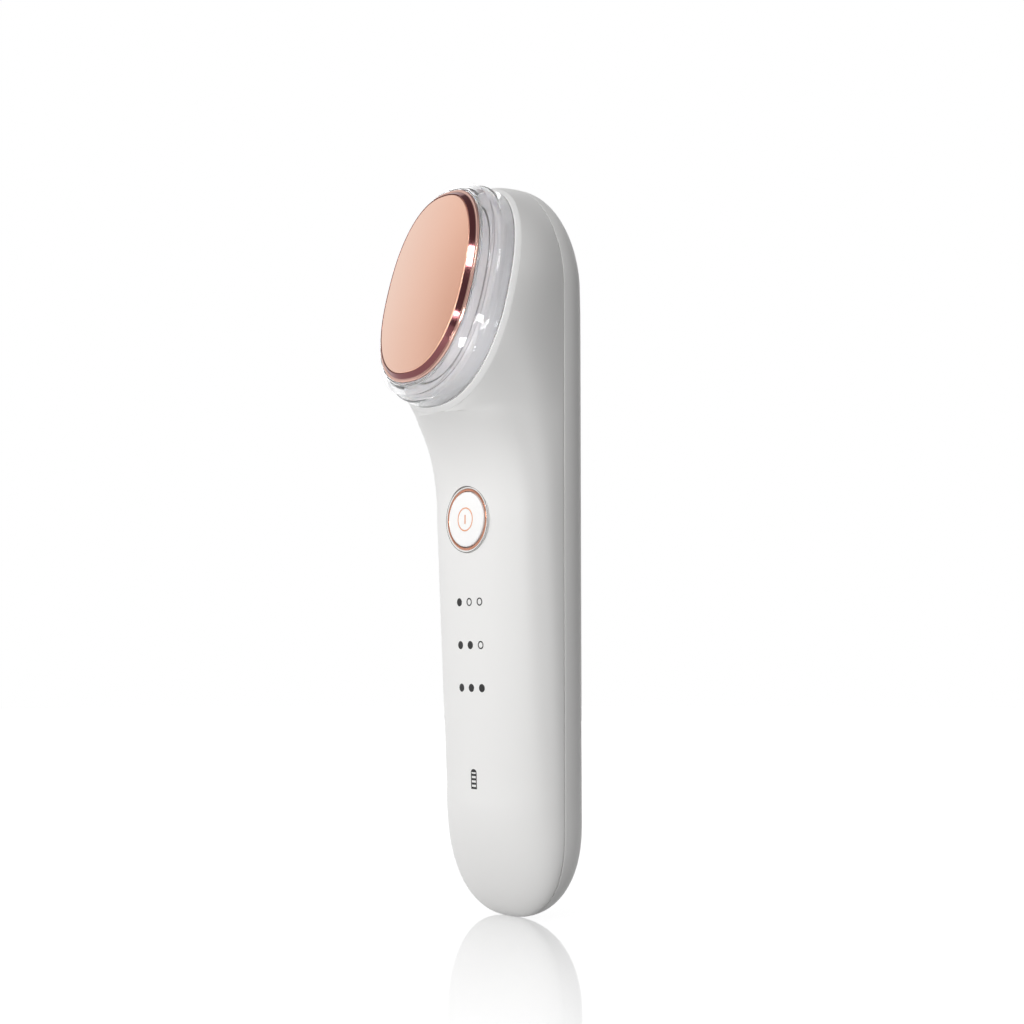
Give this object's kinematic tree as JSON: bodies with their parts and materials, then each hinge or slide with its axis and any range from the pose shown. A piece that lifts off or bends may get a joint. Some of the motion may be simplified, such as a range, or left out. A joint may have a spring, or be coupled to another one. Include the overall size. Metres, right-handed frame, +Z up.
{
  "type": "facial toning device",
  "caption": "Hand-held facial toning device: rounded upright handle, tilted oval warm and cool plate in a clear stepped ring, round power button and charging port.",
  "frame": {"origin": "middle of the bounding box from left to right and from front to back, at the lowest point of the body", "axes": "+Z up the handle, -Y towards the front with the treatment plate and the button, +X to the right as seen from the back; the body is symmetric about X = 0"},
  "size_m": [0.0408, 0.0434, 0.1724],
  "materials": {
    "white_shell": "glossy moulded shell",
    "white_cap": "satin moulded cap",
    "soft_white": "soft gasket",
    "clear_ring": "clear polished",
    "light_guide": "clear moulded",
    "diffuser": "translucent white",
    "rose_metal": "satin anodised rose",
    "rose_bright": "bright rose plating",
    "bare_aluminium": "bare",
    "steel": "plain",
    "weight_metal": "sintered",
    "grey_plastic": "moulded",
    "frame_white": "moulded",
    "black_plastic": "moulded",
    "switch_metal": "moulded",
    "board_green": "solder mask",
    "board_white": "solder mask",
    "lamp_yellow": "encapsulated",
    "ceramic": "fired",
    "pad_grey": "soft pad",
    "sensor_amber": "encapsulated",
    "foil_blue": "wrapped",
    "foam_black": "foam",
    "plug_white": "moulded"
  },
  "bodies": {
    "body": {"front_housing": "white_shell", "rear_cover": "white_shell", "collar_gasket": "soft_white", "light_ring": "clear_ring", "plate_bezel": "rose_bright", "treatment_plate": "rose_metal", "plate_seal": "pad_grey", "light_diffuser": "diffuser", "ring_board": "board_white", "ring_lamps_set": "lamp_yellow", "head_frame": "frame_white", "thermal_pad": "pad_grey", "cooling_module": "ceramic", "heat_sink": "bare_aluminium", "fan_frame": "black_plastic", "temperature_sensor": "sensor_amber", "button_bezel": "rose_bright", "tact_switch": "switch_metal", "main_board": "board_green", "board_chips": "black_plastic", "mode_lamps": "lamp_yellow", "light_guide": "light_guide", "board_screws": "steel", "inner_chassis": "grey_plastic", "chassis_screws": "steel", "battery_cell": "foil_blue", "battery_foam": "foam_black", "battery_plug": "plug_white", "vibration_motor": "steel", "motor_clip": "grey_plastic", "port_board": "board_green", "charging_socket": "steel", "socket_tongue": "black_plastic"},
    "button": {"power_button": "white_cap", "switch_plunger": "black_plastic"},
    "fan": {"fan_rotor": "black_plastic"},
    "weight": {"motor_weight": "weight_metal"}
  },
  "joints": [
    {"name": "button_press", "type": "slide", "parent": "body", "child": "button", "axis": [0, 1, 0], "range_m": [0, 0.0003], "stiffness_N_per_m": 3000, "springref_m": -0.0003},
    {"name": "fan_spin", "type": "hinge", "parent": "body", "child": "fan", "pos_m": [0, -0.00549, 0.1437], "axis": [0, -0.9677, 0.2521], "continuous": true},
    {"name": "weight_spin", "type": "hinge", "parent": "body", "child": "weight", "pos_m": [0, 0.00631, 0.117], "axis": [1, 0, 0], "continuous": true}
  ]
}
